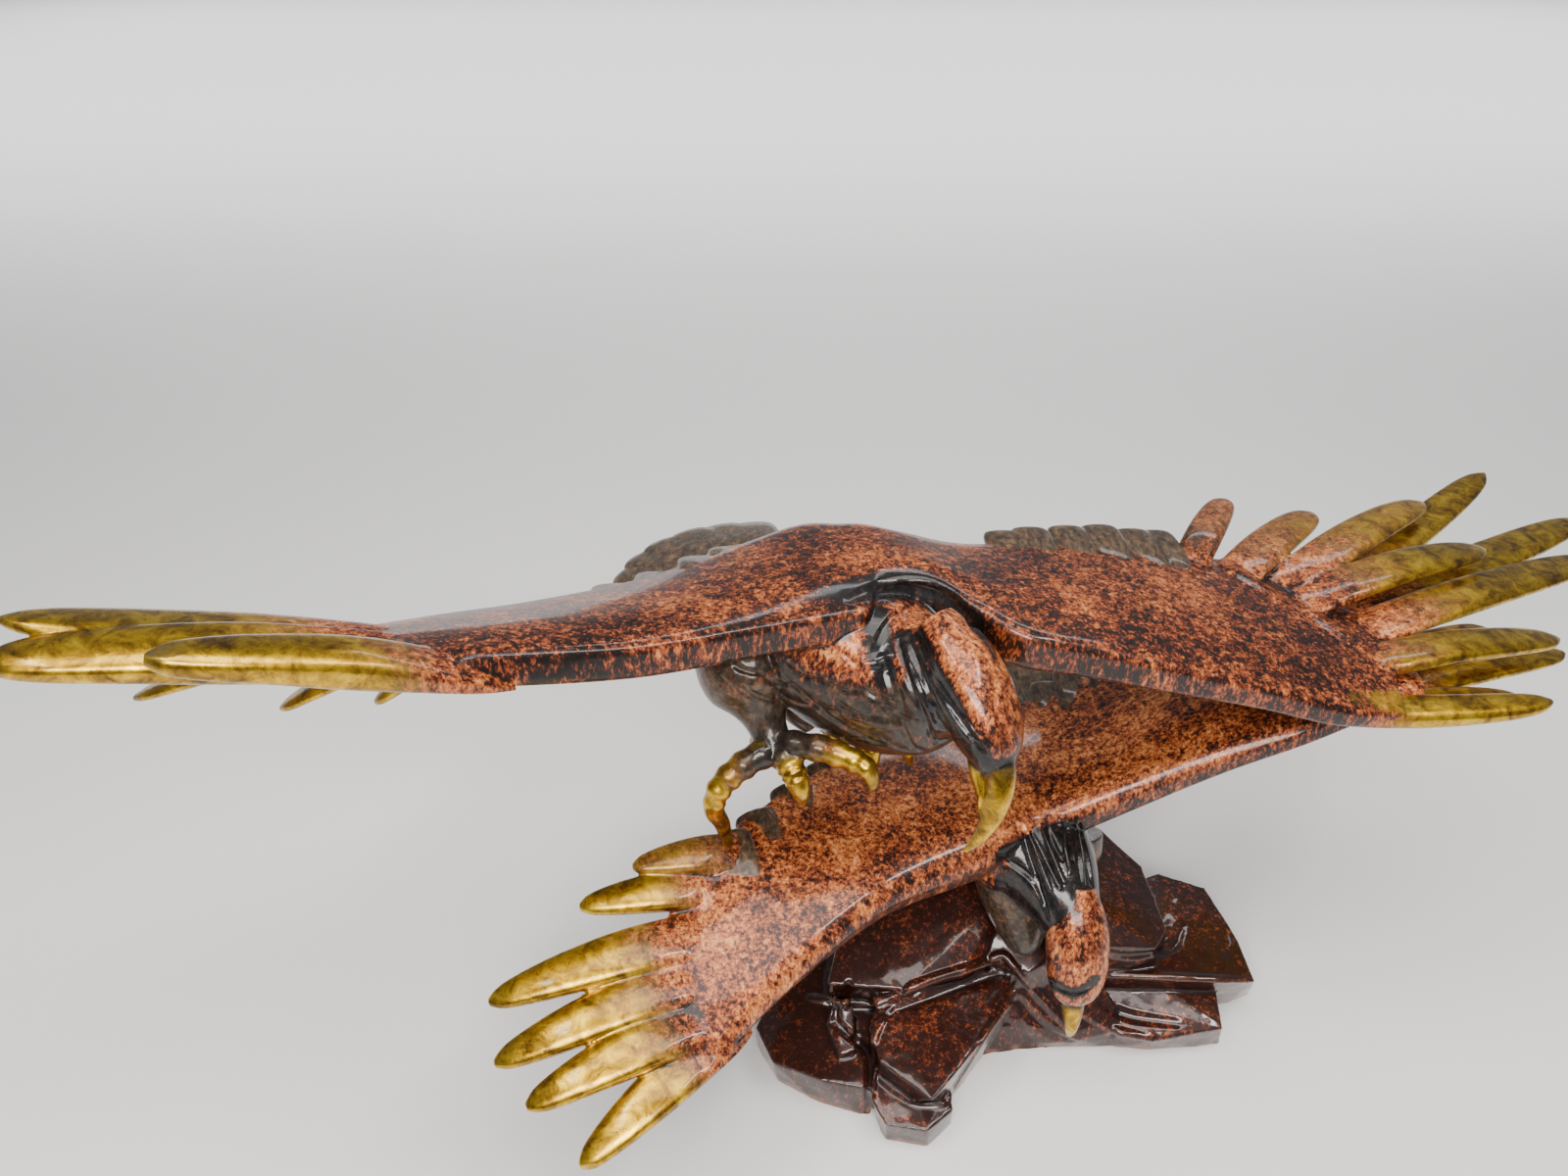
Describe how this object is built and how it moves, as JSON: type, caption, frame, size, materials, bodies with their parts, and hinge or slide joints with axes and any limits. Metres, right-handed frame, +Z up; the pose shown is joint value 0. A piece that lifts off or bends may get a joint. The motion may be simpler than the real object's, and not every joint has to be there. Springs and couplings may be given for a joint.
{
  "type": "eagle statue",
  "caption": "Cast bronze sculpture of eagles in flight, one above the other with wings and talons meeting, rising from a rock plinth.",
  "frame": {"origin": "on the rock plinth's flat underside, below the lower eagle's body", "axes": "+Z up; +X runs along the wings, towards the wing tips with the wide fan of feathers; -Y is the front, which the lower eagle's head faces"},
  "size_m": [0.9193, 0.4249, 0.4151],
  "materials": {
    "eagle_patina": "glossy mottled red-brown patina with gold feather tips, beaks and talons",
    "rock_patina": "glossy dark red-brown patina with black hollows"
  },
  "bodies": {
    "root": {"upper_eagle": "eagle_patina", "lower_eagle": "eagle_patina", "rock_base": "rock_patina"}
  },
  "joints": []
}
